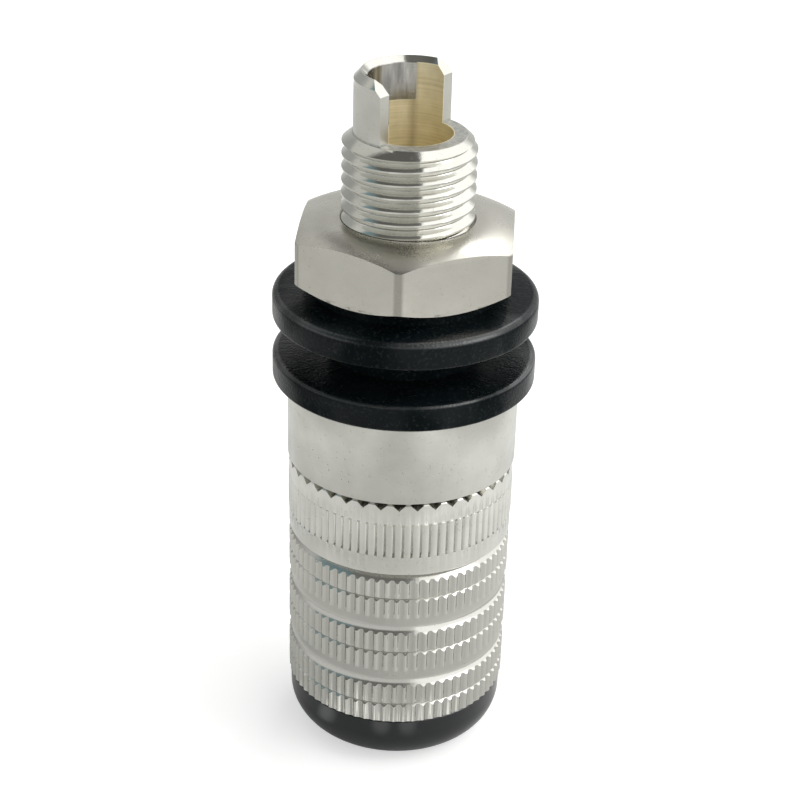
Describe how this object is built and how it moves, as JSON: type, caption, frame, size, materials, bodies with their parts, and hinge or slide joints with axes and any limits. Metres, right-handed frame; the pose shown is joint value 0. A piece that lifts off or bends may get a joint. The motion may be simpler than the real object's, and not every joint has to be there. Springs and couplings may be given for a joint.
{
  "type": "binding post",
  "caption": "Panel binding post with a knurled screw-down clamping knob, a free pressure ring, a plug socket, insulating washers, a hex nut and an open solder cup.",
  "frame": {"origin": "centre of the end cap's flat front face, on which the post stands", "axes": "+Z along the post's axis, from the end cap to the solder cup; -Y is the side seen first, with +X to its right"},
  "size_m": [0.02, 0.02, 0.0549],
  "materials": {
    "nickel_bright": "bright nickel plate over brass",
    "nickel_satin": "satin nickel plate over brass",
    "black_satin": "satin black nylon with turning marks",
    "black_gloss": "glossy black moulded plastic",
    "spring_steel": "plain spring steel"
  },
  "bodies": {
    "post": {"contact_pillar": "nickel_bright", "base_collar": "nickel_satin", "front_insulator": "black_satin", "stop_ring": "spring_steel"},
    "clamp_washer": {"rear_insulator": "black_satin"},
    "nut": {"hex_nut": "nickel_bright"},
    "ring": {"pressure_ring": "nickel_satin"},
    "knob": {"knob_shell": "nickel_bright", "end_cap": "black_gloss"}
  },
  "joints": [
    {"name": "ring_slide", "type": "slide", "parent": "post", "child": "ring", "axis": [0, 0, -1], "range_m": [0, 0.008]},
    {"name": "knob_turn", "type": "hinge", "parent": "ring", "child": "knob", "pos_m": [0, 0, 0.018], "axis": [0, 0, -1], "range_deg": [0, 2300]},
    {"name": "washer_lift", "type": "slide", "parent": "post", "child": "clamp_washer", "axis": [0, 0, 1], "range_m": [0, 0.0059]},
    {"name": "nut_turn", "type": "hinge", "parent": "clamp_washer", "child": "nut", "pos_m": [0, 0, 0.041], "axis": [0, 0, 1], "range_deg": [0, 2120]}
  ],
  "couplings": [
    {"joint": "ring_slide", "follows": "knob_turn", "m_per_rad": 0.00019894},
    {"joint": "washer_lift", "follows": "nut_turn", "m_per_rad": 0.00015915}
  ]
}
